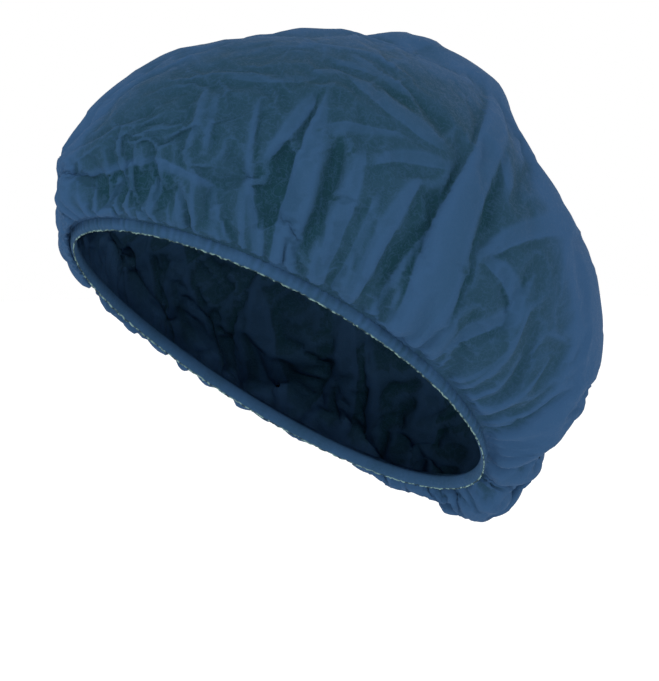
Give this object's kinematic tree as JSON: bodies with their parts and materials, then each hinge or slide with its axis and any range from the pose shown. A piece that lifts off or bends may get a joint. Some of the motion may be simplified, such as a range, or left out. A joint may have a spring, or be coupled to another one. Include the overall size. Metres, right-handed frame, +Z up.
{
  "type": "disposable bouffant hairnet",
  "caption": "Bouffant disposable hairnet: a thin blue nonwoven crown, gathered in loose folds into an elastic hem that grips forehead, ears and nape.",
  "frame": {"origin": "centre of the head opening, halfway between forehead and nape and between the ears", "axes": "+Z up for an upright head, -Y the way the wearer faces, +X the wearer's left"},
  "size_m": [0.223, 0.2459, 0.2077],
  "materials": {
    "nonwoven_cloth": "thin spunbonded polypropylene, matt, fibrous, lighter where folds double it",
    "elastic_hem": "the same cloth gathered tight over elastic thread, with a frayed cut edge"
  },
  "bodies": {
    "root": {"crown": "nonwoven_cloth", "elastic_band": "elastic_hem"}
  },
  "joints": []
}
